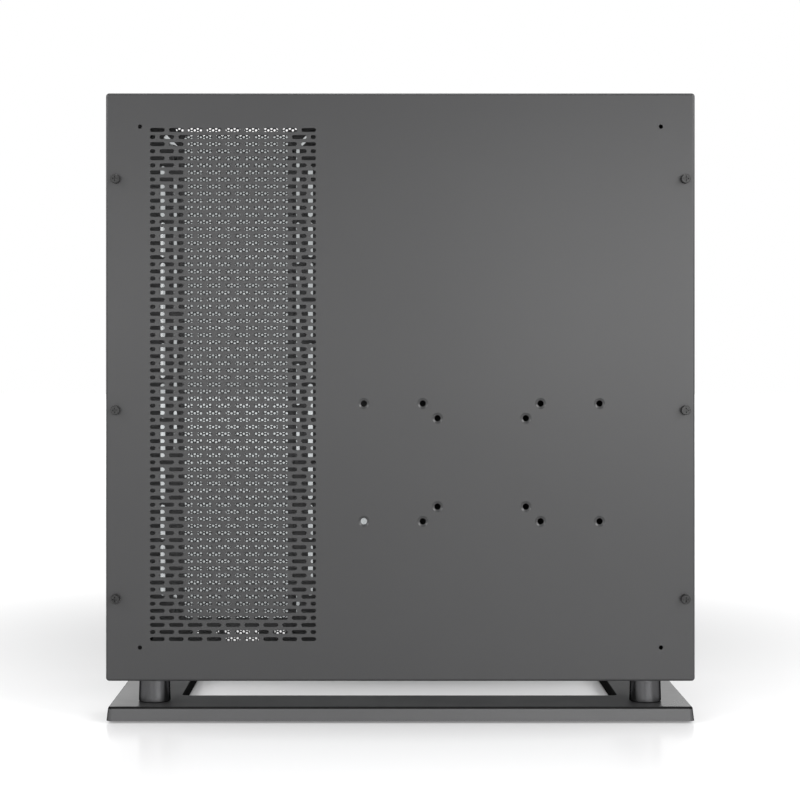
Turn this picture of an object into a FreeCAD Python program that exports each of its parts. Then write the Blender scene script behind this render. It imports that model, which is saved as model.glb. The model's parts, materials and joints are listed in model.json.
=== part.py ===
import FreeCAD, Part
import math
import operator
import os

import Sketcher
from FreeCAD import Vector

# Open-frame mid-tower computer case, in millimetres.
# X runs to the right as seen from behind, Y runs from the rear cover to the glass, Z is up.
# The floor is Z = 0 and the case stands centred on the Z axis.

SIZES = {
    # Flat body between the rear cover and the motherboard tray
    "body_width": 500.0,
    "body_height": 499.0,
    "body_depth": 66.0,
    "body_lift": 22.0,
    "steel": 1.2,
    "bend": 2.0,
    "fit_gap": 0.4,
    "seat_gap": 0.2,
    "slide_gap": 0.3,
    # Rear cover: flange depth, corner slits, vent, wall-mount holes, corner holes
    "cover_flange": 12.0,
    "slit_width": 1.0,
    "vent_x": -142.0,
    "vent_z": 251.6,
    "vent_columns": 9,
    "vent_rows": 37,
    "slot_pitch": 16.05,
    "row_pitch": 12.0,
    "slot_length": 12.5,
    "slot_height": 3.2,
    "vesa_x": 69.0,
    "vesa_z": 185.6,
    "vesa_small": 75.0,
    "vesa_large": 100.0,
    "vesa_wide": 200.0,
    "vesa_hole": 5.4,
    "vesa_sink": 9.2,
    "vesa_sink_depth": 0.7,
    "corner_pitch": 442.0,
    "corner_hole": 3.5,
    # Thumb screws that hold the cover
    "thumb_inset": 8.5,
    "thumb_low": 70.0,
    "thumb_middle": 230.0,
    "thumb_high": 426.0,
    "thumb_head": 8.0,
    "thumb_height": 6.5,
    "thumb_shank": 3.5,
    "thumb_length": 9.0,
    "thumb_ribs": 14,
    "recess_span": 4.6,
    "recess_width": 1.2,
    "recess_depth": 2.0,
    # Shell: rear flange, fan openings and cable openings of the tray
    "shell_flange": 16.0,
    "fan_x": -143.5,
    "fan_z": 253.7,
    "screen_z": 257.5,
    "screen_width": 91.5,
    "screen_height": 425.0,
    "screen_lap": 4.0,
    "screen_columns": 5,
    "screen_rows": 22,
    "screen_rib": 4.0,
    "head_width": 107.0,
    "head_height": 5.0,
    "head_web": 3.0,
    "head_gaps": 6,
    "fan_slot_x": 65.0,
    "fan_slot_width": 4.2,
    "fan_slot_pitch": 35.5,
    "fan_slot_count": 10,
    "fan_bridge": 5.0,
    "fan_line_x": 54.0,
    "fan_line_z": 312.8,
    "fan_line_width": 2.8,
    "fan_line_pitch": 41.5,
    "fan_line_count": 6,
    "fan_stub": 9.0,
    "fan_corner_z": 197.0,
    "fan_corner_length": 18.0,
    "fan_corner_step": 8.0,
    "board_x": 198.6,
    "board_z": 472.0,
    "board_middle_x": 124.46,
    "board_far_x": 227.33,
    "board_middle_z": 154.94,
    "board_far_z": 281.94,
    "cpu_x": 123.0,
    "cpu_z": 394.0,
    "cpu_width": 150.0,
    "cpu_height": 124.0,
    "cpu_corner": 8.0,
    "cable_x": -139.0,
    "cable_z": 30.0,
    "cable_width": 30.0,
    "cable_height": 16.0,
    "side_cable_gap": 13.9,
    "side_cable_rise": 3.0,
    "side_cable_width": 10.0,
    "side_cable_height": 8.0,
    "tie_hole": 3.2,
    "tie_near": 21.5,
    "tie_far": 38.5,
    # Standoffs
    "standoff_across": 6.0,
    "standoff_height": 6.5,
    "standoff_bore": 3.2,
    "standoff_stud": 4.0,
    # Cable grommets
    "grommet_side_x": -53.0,
    "grommet_upper_z": 405.0,
    "grommet_lower_z": 270.0,
    "grommet_side_width": 17.0,
    "grommet_side_length": 92.0,
    "grommet_under_x": -31.0,
    "grommet_under_z": 128.0,
    "grommet_under_width": 24.0,
    "grommet_under_length": 70.0,
    "grommet_power_x": -20.0,
    "grommet_power_z": 60.0,
    "grommet_power_width": 26.0,
    "grommet_power_length": 80.0,
    "grommet_lip": 2.5,
    "grommet_lip_thick": 1.5,
    "grommet_wall": 2.0,
    # Brackets on the tray
    "foot_flange": 14.0,
    "psu_x": 200.0,
    "psu_z": 12.0,
    "psu_length": 150.0,
    "psu_depth": 86.0,
    "psu_border": 16.0,
    "psu_hole": 4.0,
    "pci_x": 206.5,
    "pci_z": 176.0,
    "pci_count": 8,
    "pci_pitch": 20.32,
    "pci_reach": 118.0,
    "pci_window": 12.5,
    "pci_margin": 10.0,
    "pci_lip": 12.0,
    "blank_width": 18.4,
    "blank_thick": 0.8,
    "drive_x": 125.0,
    "drive_lower_z": 80.0,
    "drive_upper_z": 235.0,
    "drive_width": 110.0,
    "drive_height": 120.0,
    "drive_ear": 24.0,
    "screw_shank": 3.0,
    "screw_head": 6.4,
    "screw_head_height": 2.2,
    "screw_length": 5.0,
    "screw_hole": 3.6,
    # Base, feet and stand posts
    "base_width": 500.0,
    "base_depth": 333.0,
    "base_thick": 12.0,
    "base_wall": 2.6,
    "base_draft": 6.9,
    "base_corner": 5.0,
    "base_edge": 2.4,
    "base_rail": 59.0,
    "foot_x": 160.0,
    "foot_inset": 29.5,
    "foot_diameter": 22.0,
    "foot_height": 2.0,
    "post_spacing": 424.0,
    "post_foot": 27.4,
    "post_head": 26.2,
    "post_chamfer": 0.8,
    "post_boss": 30.0,
    "bolt_shank": 6.0,
    "bolt_hole": 6.8,
    "bolt_head": 12.0,
    "bolt_head_height": 4.5,
    "bolt_sink": 14.0,
    "bolt_sink_depth": 5.0,
    "nut_across": 10.0,
    "nut_height": 5.0,
    # Front glass with its posts, caps and washers
    "glass_width": 480.0,
    "glass_height": 480.0,
    "glass_thick": 5.0,
    "glass_corner": 12.0,
    "glass_chamfer": 0.6,
    "glass_hole": 10.4,
    "glass_post_length": 185.0,
    "glass_post": 16.0,
    "glass_post_foot": 20.0,
    "glass_post_foot_height": 4.0,
    "glass_post_bore": 8.4,
    "glass_post_bore_depth": 30.0,
    "glass_screw": 3.5,
    "glass_screw_bore": 4.0,
    "glass_screw_hole": 4.5,
    "glass_screw_head": 8.0,
    "glass_screw_head_height": 2.6,
    "glass_screw_length": 12.0,
    "washer_thick": 1.5,
    "washer_outside": 18.0,
    "washer_inside": 9.6,
    "cap_head": 22.0,
    "cap_height": 9.0,
    "cap_crown": 1.6,
    "cap_stem": 7.8,
    "cap_reach": 28.0,
    "cap_scallops": 12,
    "cap_scallop": 3.0,
    # Port panel in the side wall
    "io_y": 39.0,
    "io_z": 90.0,
    "io_width": 22.0,
    "io_length": 120.0,
    "io_lip": 2.0,
    "io_lip_thick": 1.0,
    "io_neck": 6.0,
    "io_corner": 3.0,
    "io_leg": 4.8,
    "io_leg_y": 7.0,
    "io_leg_z": 56.0,
    "io_board_x": 14.0,
    "io_board_thick": 1.6,
    "power_z": 46.0,
    "power_bore": 14.0,
    "reset_z": 29.0,
    "reset_bore": 5.4,
    "button_flange": 1.5,
    "button_flange_thick": 1.2,
    "button_travel": 1.5,
    "power_stem": 3.4,
    "reset_stem": 2.2,
    "switch_height": 4.0,
    "power_switch": 12.0,
    "reset_switch": 6.0,
    "usb_upper_z": 12.0,
    "usb_lower_z": -7.0,
    "usb_length": 13.2,
    "usb_width": 5.8,
    "usb_shell": 0.4,
    "usb_tongue": 1.8,
    "usb_c_z": -22.0,
    "usb_c_length": 9.0,
    "usb_c_width": 3.3,
    "usb_c_tongue": 0.8,
    "port_inset": 0.5,
    "port_floor": 2.0,
    "port_gap": 0.2,
    "audio_upper_z": -36.0,
    "audio_lower_z": -49.0,
    "audio_ring": 6.4,
    "audio_bore": 3.6,
}

DOC = FreeCAD.newDocument("open_frame_case")
SHEET = DOC.addObject("Spreadsheet::Sheet", "Sizes")
for row, (alias, number) in enumerate(SIZES.items(), start=1):
    SHEET.set(f"A{row}", str(number))
    SHEET.setAlias(f"A{row}", alias)
DOC.recompute()

OPERATIONS = {"+": operator.add, "-": operator.sub, "*": operator.mul, "/": operator.truediv}
PIECES = []


class Size:
    """A number of the case together with the sheet expression that gives it."""

    def __init__(self, value, text):
        self.value = value
        self.text = text

    def __float__(self):
        return float(self.value)

    def __add__(self, other):
        return joined(self, "+", other)

    def __radd__(self, other):
        return joined(other, "+", self)

    def __sub__(self, other):
        return joined(self, "-", other)

    def __rsub__(self, other):
        return joined(other, "-", self)

    def __mul__(self, other):
        return joined(self, "*", other)

    def __rmul__(self, other):
        return joined(other, "*", self)

    def __truediv__(self, other):
        return joined(self, "/", other)

    def __neg__(self):
        return joined(0.0, "-", self)


class SheetSizes:
    """Gives each alias of the sheet as a Size."""

    def __getattr__(self, alias):
        return Size(float(getattr(SHEET, alias)), f"Sizes.{alias}")


def as_size(number):
    if isinstance(number, Size):
        return number
    return Size(float(number), f"{float(number):.6f}")


def joined(left, sign, right):
    left = as_size(left)
    right = as_size(right)
    return Size(OPERATIONS[sign](left.value, right.value), f"({left.text} {sign} {right.text})")


def bind(thing, name, size):
    thing.setExpression(name, as_size(size).text)


class Drawing:
    """A sketch on an origin plane of a body, with every point placed from the origin."""

    def __init__(self, body, name, plane, height=0.0):
        self.sketch = body.newObject("Sketcher::SketchObject", name)
        origin = [item for item in body.Origin.OriginFeatures if item.Role == plane][0]
        self.sketch.AttachmentSupport = (origin, [""])
        self.sketch.MapMode = "FlatFace"
        bind(self.sketch, "AttachmentOffset.Base.z", height)
        self.lines = []
        self.rules = []
        self.texts = {}

    def measure(self, kind, line, end, size):
        size = as_size(size)
        self.texts[len(self.rules)] = size.text
        self.rules.append(Sketcher.Constraint(kind, -1, 1, line, end, size.value))

    def pin(self, line, end, spot):
        self.measure("DistanceX", line, end, spot[0])
        self.measure("DistanceY", line, end, spot[1])

    def chain(self, spans):
        """A closed chain of spans (start, centre); a centre turns the span into an arc."""
        first = len(self.lines)
        for number, (start, centre) in enumerate(spans):
            here = flat(start)
            there = flat(spans[(number + 1) % len(spans)][0])
            self.pin(first + number, 1, start)
            if centre is None:
                self.lines.append(Part.LineSegment(here, there))
            else:
                self.lines.append(arc_between(here, there, flat(centre)))
                if abs(there.y - here.y) >= abs(there.x - here.x):
                    self.measure("DistanceX", first + number, 3, centre[0])
                else:
                    self.measure("DistanceY", first + number, 3, centre[1])
        for number in range(len(spans)):
            after = first + (number + 1) % len(spans)
            self.rules.append(Sketcher.Constraint("Coincident", first + number, 2, after, 1))

    def outline(self, corners):
        self.chain([(corner, None) for corner in corners])

    def rectangle(self, x, y, width, height):
        left = x - width / 2
        right = x + width / 2
        low = y - height / 2
        high = y + height / 2
        self.outline([(left, low), (right, low), (right, high), (left, high)])

    def rounded(self, x, y, width, height, radius):
        left = x - width / 2
        right = x + width / 2
        low = y - height / 2
        high = y + height / 2
        self.chain([
            ((left + radius, low), None),
            ((right - radius, low), (right - radius, low + radius)),
            ((right, low + radius), None),
            ((right, high - radius), (right - radius, high - radius)),
            ((right - radius, high), None),
            ((left + radius, high), (left + radius, high - radius)),
            ((left, high - radius), None),
            ((left, low + radius), (left + radius, low + radius)),
        ])

    def slot(self, start, end, width):
        """A round-ended slot between the centres of its two ends."""
        along = (flat(end) - flat(start)).normalize()
        side_x = -along.y * width / 2
        side_y = along.x * width / 2
        self.chain([
            ((start[0] - side_x, start[1] - side_y), None),
            ((end[0] - side_x, end[1] - side_y), end),
            ((end[0] + side_x, end[1] + side_y), None),
            ((start[0] + side_x, start[1] + side_y), start),
        ])

    def circle(self, x, y, diameter):
        diameter = as_size(diameter)
        number = len(self.lines)
        self.lines.append(Part.Circle(flat((x, y)), Vector(0, 0, 1), diameter.value / 2))
        self.pin(number, 3, (x, y))
        self.texts[len(self.rules)] = diameter.text
        self.rules.append(Sketcher.Constraint("Diameter", number, diameter.value))

    def finish(self):
        self.sketch.addGeometry(self.lines, False)
        self.sketch.addConstraint(self.rules)
        for number, text in self.texts.items():
            self.sketch.setExpression(f"Constraints[{number}]", text)
        return self.sketch


def flat(spot):
    return Vector(float(spot[0]), float(spot[1]), 0)


def arc_between(start, end, centre):
    first = math.atan2(start.y - centre.y, start.x - centre.x)
    last = math.atan2(end.y - centre.y, end.x - centre.x)
    if last <= first:
        last += 2 * math.pi
    return Part.ArcOfCircle(Part.Circle(centre, Vector(0, 0, 1), (start - centre).Length), first, last)


def new_body(label, x, y, z, keep=True):
    body = DOC.addObject("PartDesign::Body", label)
    body.Label = label
    bind(body, "Placement.Base.x", x)
    bind(body, "Placement.Base.y", y)
    bind(body, "Placement.Base.z", z)
    if keep:
        PIECES.append(body)
    return body


def add(body, kind, name):
    feature = body.newObject(f"PartDesign::{kind}", name)
    body.Tip = feature
    return feature


def grow(body, name, drawing, length, reverse=False):
    sketch = drawing.finish()
    feature = add(body, "Pad", name)
    feature.Profile = sketch
    bind(feature, "Length", length)
    feature.Reversed = reverse
    return feature


def cut(body, name, drawing, depth=None, reverse=False):
    """Cuts to a depth against the sketch normal, or right through both ways."""
    sketch = drawing.finish()
    feature = add(body, "Pocket", name)
    feature.Profile = sketch
    if depth is None:
        feature.Type = "ThroughAll"
        feature.Midplane = True
    else:
        bind(feature, "Length", depth)
        feature.Reversed = reverse
    return feature


def turn(body, name, drawing, axis):
    sketch = drawing.finish()
    feature = add(body, "Revolution", name)
    feature.Profile = sketch
    feature.ReferenceAxis = (sketch, [axis])
    feature.Angle = 360.0
    return feature


def repeat_grid(body, name, feature, columns, pitch, rows, rise):
    grid = add(body, "LinearPattern", name)
    grid.Originals = [feature]
    grid.Direction = (feature.Profile[0], ["H_Axis"])
    grid.Mode = "Spacing"
    bind(grid, "Offset", pitch)
    bind(grid, "Occurrences", columns)
    grid.Direction2 = (feature.Profile[0], ["V_Axis"])
    grid.Mode2 = "Extent"
    bind(grid, "Length2", (rows - 1) * rise)
    bind(grid, "Occurrences2", rows)
    return grid


def repeat_round(body, name, feature, count):
    ring = add(body, "PolarPattern", name)
    ring.Originals = [feature]
    ring.Axis = (feature.Profile[0], ["N_Axis"])
    ring.Angle = 360.0
    bind(ring, "Occurrences", count)
    return ring


def names_where(kind, shapes, test):
    return [f"{kind}{number}" for number, shape in enumerate(shapes, start=1) if test(shape)]


def lies_at(shape, axis, place):
    """True when every corner of the face or edge has that coordinate."""
    return all(abs(getattr(corner.Point, axis) - float(place)) < 1e-4 for corner in shape.Vertexes)


def round_edges(body, name, test, radius, kind="Fillet"):
    base = body.Tip
    DOC.recompute()
    chosen = names_where("Edge", base.Shape.Edges, test)
    feature = add(body, kind, name)
    feature.Base = (base, chosen)
    bind(feature, "Radius" if kind == "Fillet" else "Size", radius)
    return feature


def hollow(body, name, test, wall):
    """Leaves a wall of even thickness inside the skin and opens the chosen faces."""
    base = body.Tip
    DOC.recompute()
    feature = add(body, "Thickness", name)
    feature.Base = (base, names_where("Face", base.Shape.Faces, test))
    bind(feature, "Value", wall)
    feature.Reversed = True
    return feature


def group(label, master, spots):
    """One node of equal separate solids, each at its own place."""
    DOC.recompute()
    copies = []
    for spot in spots:
        copy = master.Shape.copy()
        copy.translate(Vector(*[float(number) for number in spot]))
        copies.append(copy)
    feature = DOC.addObject("Part::Feature", label)
    feature.Label = label
    feature.Shape = Part.makeCompound(copies)
    PIECES.append(feature)
    return feature


S = SheetSizes()

# Shared planes and lines of the case
REAR_Y = (S.thumb_height - S.base_depth) / 2
BASE_TOP = S.foot_height + S.base_thick
BODY_Z = BASE_TOP + S.body_lift
MIDDLE_Z = S.body_height / 2
TRAY_Y = REAR_Y + S.body_depth
SKIN = S.steel + S.fit_gap
CORNER = S.bend * 1.4
SHELL_Y = REAR_Y + S.steel
SHELL_WIDTH = S.body_width - 2 * SKIN
SHELL_HEIGHT = S.body_height - 2 * SKIN
SHELL_DEPTH = S.body_depth - S.steel
POST_Y = REAR_Y + S.body_depth / 2
CORNERS = {
    "top_left": (-S.corner_pitch / 2, MIDDLE_Z + S.corner_pitch / 2),
    "top_right": (S.corner_pitch / 2, MIDDLE_Z + S.corner_pitch / 2),
    "bottom_left": (-S.corner_pitch / 2, MIDDLE_Z - S.corner_pitch / 2),
    "bottom_right": (S.corner_pitch / 2, MIDDLE_Z - S.corner_pitch / 2),
}
THUMB_X = S.body_width / 2 - S.thumb_inset
THUMBS = [(side * THUMB_X, rise) for side in (-1, 1) for rise in (S.thumb_low, S.thumb_middle, S.thumb_high)]
BOARD_HOLES = [
    (S.board_x - across, S.board_z - down)
    for across in (0, S.board_middle_x, S.board_far_x)
    for down in (0, S.board_middle_z, S.board_far_z)
]
HEAD_Z = S.screen_z + S.screen_height / 2 + S.head_web + S.head_height / 2
GROMMETS = {
    "grommet_side_upper": (S.grommet_side_x, S.grommet_upper_z, S.grommet_side_length, S.grommet_side_width, True),
    "grommet_side_lower": (S.grommet_side_x, S.grommet_lower_z, S.grommet_side_length, S.grommet_side_width, True),
    "grommet_under_board": (
        S.grommet_under_x, S.grommet_under_z, S.grommet_under_length, S.grommet_under_width, False),
    "grommet_power_cables": (
        S.grommet_power_x, S.grommet_power_z, S.grommet_power_length, S.grommet_power_width, False),
}


def slot_ends(x, z, length, width, upright):
    """Centres of the two ends of a slot of that overall length."""
    half = (length - width) / 2
    if upright:
        return (x, z - half), (x, z + half)
    return (x - half, z), (x + half, z)


# Rear cover: a folded pan with a staggered vent and holes for a wall arm

cover = new_body("cover_pan", 0, REAR_Y, BODY_Z, keep=False)
drawing = Drawing(cover, "cover_outline", "XZ_Plane")
drawing.rounded(0, MIDDLE_Z, S.body_width, S.body_height, CORNER)
grow(cover, "cover_block", drawing, S.cover_flange, reverse=True)
round_edges(cover, "cover_folds", lambda edge: lies_at(edge, "y", 0), S.bend)
hollow(cover, "cover_folded", lambda face: lies_at(face, "y", S.cover_flange), S.steel)

drawing = Drawing(cover, "corner_slit_lines", "YZ_Plane")
for height in (CORNER + S.slit_width, S.body_height - CORNER - S.slit_width):
    drawing.rectangle((S.bend + S.cover_flange + 1) / 2, height, S.cover_flange + 1 - S.bend, S.slit_width)
cut(cover, "corner_slits", drawing)

drawing = Drawing(cover, "cover_hole_lines", "XZ_Plane")
for x, z in THUMBS:
    drawing.circle(x, z, S.thumb_shank + 2 * S.slide_gap)
for x, z in CORNERS.values():
    drawing.circle(x, z, S.corner_hole)
cut(cover, "cover_holes", drawing)

VESA = [(S.vesa_small, S.vesa_small), (S.vesa_large, S.vesa_large), (S.vesa_wide, S.vesa_large)]
VESA_HOLES = [
    (S.vesa_x + side * width / 2, S.vesa_z + rise * height / 2)
    for width, height in VESA for side in (-1, 1) for rise in (-1, 1)
]
drawing = Drawing(cover, "wall_hole_lines", "XZ_Plane")
for x, z in VESA_HOLES:
    drawing.circle(x, z, S.vesa_hole)
cut(cover, "wall_holes", drawing)
hole_rims = {(round(float(x), 3), round(float(z), 3)) for x, z in VESA_HOLES}


def is_wall_rim(edge):
    if not lies_at(edge, "y", 0) or not hasattr(edge.Curve, "Center"):
        return False
    return (round(edge.Curve.Center.x, 3), round(edge.Curve.Center.z, 3)) in hole_rims


sink = round_edges(cover, "wall_hole_sinks", is_wall_rim, (S.vesa_sink - S.vesa_hole) / 2, kind="Chamfer")
sink.ChamferType = "Two distances"
bind(sink, "Size2", S.vesa_sink_depth)


def vent_row(row):
    """Slots of one row as (centre, length); every second row is shifted and ends in two stubs."""
    middle = float(S.vent_x)
    pitch = float(S.slot_pitch)
    length = float(S.slot_length)
    columns = round(float(S.vent_columns))
    first = middle - (columns - 1) * pitch / 2
    if row % 2 == 0:
        return [(first + number * pitch, length) for number in range(columns)]
    stub = length - pitch / 2
    reach = middle - first + (length - stub) / 2
    shifted = [(first + (number + 0.5) * pitch, length) for number in range(columns - 1)]
    return [(middle - reach, stub)] + shifted + [(middle + reach, stub)]


vent_slots = []
rows = round(float(S.vent_rows))
for row in range(rows):
    low = float(BODY_Z + S.vent_z + (row - (rows - 1) / 2) * S.row_pitch - S.slot_height / 2)
    for centre, length in vent_row(row):
        corner = Vector(centre - length / 2, float(REAR_Y - S.steel), low)
        vent_slots.append(Part.makeBox(length, float(3 * S.steel), float(S.slot_height), corner))
DOC.recompute()
vented = DOC.addObject("Part::Feature", "rear_cover")
vented.Label = "rear_cover"
vented.Shape = cover.Shape.cut(Part.makeCompound(vent_slots))
PIECES.append(vented)

# Thumb screws: ribbed head with a cross recess

thumb = new_body("thumb_screw", 0, REAR_Y, BODY_Z, keep=False)
drawing = Drawing(thumb, "thumb_profile", "XY_Plane")
edge = S.thumb_head / 16
drawing.outline([
    (0, S.thumb_length),
    (0, -S.thumb_height),
    (S.thumb_head / 2 - edge, -S.thumb_height),
    (S.thumb_head / 2, edge - S.thumb_height),
    (S.thumb_head / 2, 0),
    (S.thumb_shank / 2, 0),
    (S.thumb_shank / 2, S.thumb_length - edge),
    (S.thumb_shank / 2 - edge, S.thumb_length),
])
turn(thumb, "thumb_turned", drawing, "V_Axis")
drawing = Drawing(thumb, "rib_groove_lines", "XZ_Plane", S.thumb_height)
groove = S.thumb_head / 20
drawing.outline([
    (S.thumb_head / 2 + groove, groove * -1.4),
    (S.thumb_head / 2 + groove, groove * 1.4),
    (S.thumb_head / 2 - groove, 0),
])
groove_cut = cut(thumb, "rib_groove", drawing, S.thumb_height - edge)
repeat_round(thumb, "rib_grooves", groove_cut, S.thumb_ribs)
drawing = Drawing(thumb, "recess_lines", "XZ_Plane", S.thumb_height)
arm = S.recess_span / 2
half = S.recess_width / 2
drawing.outline([
    (arm, -half), (arm, half), (half, half), (half, arm), (-half, arm), (-half, half),
    (-arm, half), (-arm, -half), (-half, -half), (-half, -arm), (half, -arm), (half, -half),
])
cut(thumb, "cross_recess", drawing, S.recess_depth)
group("thumb_screws", thumb, [(x, 0, z) for x, z in THUMBS])

# Shell: four walls, a rear flange and the motherboard tray, folded from one sheet

shell = new_body("chassis_shell", 0, SHELL_Y, BODY_Z)
drawing = Drawing(shell, "shell_outline", "XZ_Plane")
drawing.rounded(0, MIDDLE_Z, SHELL_WIDTH, SHELL_HEIGHT, CORNER)
grow(shell, "shell_block", drawing, SHELL_DEPTH, reverse=True)
round_edges(shell, "shell_folds", lambda edge: lies_at(edge, "y", SHELL_DEPTH), S.bend)
hollow(shell, "shell_pan", lambda face: lies_at(face, "y", 0), S.steel)
drawing = Drawing(shell, "rear_flange_lines", "XZ_Plane")
drawing.rounded(0, MIDDLE_Z, SHELL_WIDTH - S.steel, SHELL_HEIGHT - S.steel, CORNER - S.steel / 2)
drawing.rectangle(0, MIDDLE_Z, SHELL_WIDTH - 2 * S.shell_flange, SHELL_HEIGHT - 2 * S.shell_flange)
grow(shell, "rear_flange", drawing, S.steel, reverse=True)


def is_rear_rim(edge):
    middle = edge.BoundBox.Center
    outside = abs(middle.x) > float(SHELL_WIDTH / 2 - S.bend)
    above = abs(middle.z - float(MIDDLE_Z)) > float(SHELL_HEIGHT / 2 - S.bend)
    return lies_at(edge, "y", 0) and (outside or above)


round_edges(shell, "rear_folds", is_rear_rim, S.bend)

drawing = Drawing(shell, "fixing_lines", "XZ_Plane")
for x, z in THUMBS:
    drawing.circle(x, z, S.thumb_shank + 2 * S.seat_gap)
for x, z in CORNERS.values():
    drawing.circle(x, z, S.glass_screw_hole)
for x, z in BOARD_HOLES:
    drawing.circle(x, z, S.standoff_stud + 2 * S.seat_gap)
cut(shell, "fixing_holes", drawing)

drawing = Drawing(shell, "tray_window_lines", "XZ_Plane")
drawing.rounded(S.fan_x, S.screen_z, S.screen_width, S.screen_height, S.io_corner)
start, end = slot_ends(S.fan_x, HEAD_Z, S.head_width, S.head_height, False)
drawing.slot(start, end, S.head_height)
drawing.rounded(S.cpu_x, S.cpu_z, S.cpu_width, S.cpu_height, S.cpu_corner)
for x, z, length, width, upright in GROMMETS.values():
    start, end = slot_ends(x, z, length, width, upright)
    drawing.slot(start, end, width)
drawing.rectangle(S.cable_x, S.cable_z, S.cable_width, S.cable_height)
drawing.rectangle(
    S.cable_x + (S.cable_width + S.side_cable_width) / 2 + S.side_cable_gap,
    S.cable_z + S.side_cable_rise, S.side_cable_width, S.side_cable_height)
for reach in (S.tie_near, S.tie_far):
    drawing.circle(S.cable_x - reach, S.cable_z + S.side_cable_rise, S.tie_hole)
cut(shell, "tray_windows", drawing)


def fan_slots(name, reach, middle, count, pitch, width):
    """Two upright columns of slots beside the fan window, with a bridge between each slot and the next."""
    drawing = Drawing(shell, f"{name}_lines", "XZ_Plane")
    lowest = middle - (count - 1) / 2 * pitch
    start, end = slot_ends(S.fan_x - reach, lowest, pitch - S.fan_bridge, width, True)
    drawing.slot(start, end, width)
    first = cut(shell, f"{name}_first", drawing)
    repeat_grid(shell, name, first, 2, 2 * reach, count, pitch)


fan_slots("fan_slots", S.fan_slot_x, S.fan_z, S.fan_slot_count, S.fan_slot_pitch, S.fan_slot_width)
fan_slots("fan_lines", S.fan_line_x, S.fan_line_z, S.fan_line_count, S.fan_line_pitch, S.fan_line_width)

drawing = Drawing(shell, "fan_end_lines", "XZ_Plane")
stub_z = (S.fan_slot_count * S.fan_slot_pitch + S.fan_bridge + S.fan_stub) / 2
for side in (-1, 1):
    for rise in (-1, 1):
        start, end = slot_ends(
            S.fan_x + side * S.fan_slot_x, S.fan_z + rise * stub_z, S.fan_stub, S.fan_slot_width, True)
        drawing.slot(start, end, S.fan_slot_width)
        start, end = slot_ends(
            S.fan_x + side * S.fan_line_x, S.fan_z + rise * S.fan_corner_z,
            S.fan_corner_length, S.fan_line_width, True)
        drawing.slot(start, end, S.fan_line_width)
cut(shell, "fan_ends", drawing)

drawing = Drawing(shell, "fan_slant_lines", "XZ_Plane")
slant_z = S.fan_z + S.fan_corner_z + S.fan_corner_length / 2
for side in (-1, 1):
    near = (S.fan_x + side * S.fan_line_x, slant_z)
    far = (S.fan_x + side * (S.fan_line_x + S.fan_corner_step), slant_z + S.fan_corner_step)
    drawing.slot(near, far, S.fan_slot_width)
cut(shell, "fan_slants", drawing)

PSU_SCREWS = [(S.psu_x - S.foot_flange / 2, S.psu_z + S.psu_length * share) for share in (0.2, 0.8)]
PCI_HEIGHT = S.pci_count * S.pci_pitch
PCI_SCREWS = [
    (S.pci_x + S.steel + S.foot_flange / 2, S.pci_z + PCI_HEIGHT * share) for share in (0.1, 0.5, 0.9)
]
DRIVES = {"drive_bracket_lower": S.drive_lower_z, "drive_bracket_upper": S.drive_upper_z}
DRIVE_SCREWS = [
    (S.drive_x + side * S.drive_width / 4, height) for height in DRIVES.values() for side in (-1, 1)
]
drawing = Drawing(shell, "bracket_hole_lines", "XZ_Plane")
for x, z in PSU_SCREWS + PCI_SCREWS + DRIVE_SCREWS:
    drawing.circle(x, z, S.screw_hole)
cut(shell, "bracket_holes", drawing)

drawing = Drawing(shell, "port_window_lines", "YZ_Plane", -SHELL_WIDTH / 2)
drawing.rounded(
    S.io_y - S.steel, S.io_z, S.io_width + 2 * S.seat_gap, S.io_length + 2 * S.seat_gap, S.io_corner)
cut(shell, "port_window", drawing, 2 * S.steel, reverse=True)

drawing = Drawing(shell, "post_hole_lines", "XY_Plane", SKIN)
for side in (-1, 1):
    drawing.circle(side * S.post_spacing / 2, S.body_depth / 2 - S.steel, S.bolt_hole)
cut(shell, "post_holes", drawing, 2 * S.steel, reverse=True)

# Perforated fan screen over the tray window and the slot above it

screen = new_body("fan_screen", S.fan_x, TRAY_Y - S.steel, BODY_Z + S.screen_z)
side_x = S.screen_width / 2 + S.screen_lap
head_x = S.head_width / 2 + S.screen_lap
low_z = -S.screen_height / 2 - S.screen_lap
neck_z = HEAD_Z - S.screen_z - S.head_height / 2 - S.screen_lap
top_z = HEAD_Z - S.screen_z + S.head_height / 2 + S.screen_lap
drawing = Drawing(screen, "screen_outline", "XZ_Plane")
drawing.outline([
    (-side_x, low_z), (side_x, low_z), (side_x, neck_z), (head_x, neck_z),
    (head_x, top_z), (-head_x, top_z), (-head_x, neck_z), (-side_x, neck_z),
])
grow(screen, "screen_sheet", drawing, S.steel)
drawing = Drawing(screen, "head_gap_lines", "XZ_Plane")
head_pitch = (S.head_width + S.screen_rib) / S.head_gaps
for number in range(round(float(S.head_gaps))):
    drawing.rectangle(
        (number + 0.5) * head_pitch - (S.head_width + S.screen_rib) / 2, HEAD_Z - S.screen_z,
        head_pitch - S.screen_rib, S.head_height)
cut(screen, "head_gap_row", drawing)
gap_pitch_x = (S.screen_width + S.screen_rib) / S.screen_columns
gap_pitch_z = (S.screen_height + S.screen_rib) / S.screen_rows
drawing = Drawing(screen, "screen_gap_lines", "XZ_Plane")
drawing.rectangle(
    (S.screen_rib - S.screen_width) / 2 + (gap_pitch_x - S.screen_rib) / 2 - S.screen_rib / 2,
    (S.screen_rib - S.screen_height) / 2 + (gap_pitch_z - S.screen_rib) / 2 - S.screen_rib / 2,
    gap_pitch_x - S.screen_rib,
    gap_pitch_z - S.screen_rib,
)
gap = cut(screen, "screen_gap", drawing)
repeat_grid(screen, "screen_gaps", gap, S.screen_columns, gap_pitch_x, S.screen_rows, gap_pitch_z)

# Motherboard standoffs: hexagons with a bore and a stud pressed into the tray

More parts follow.
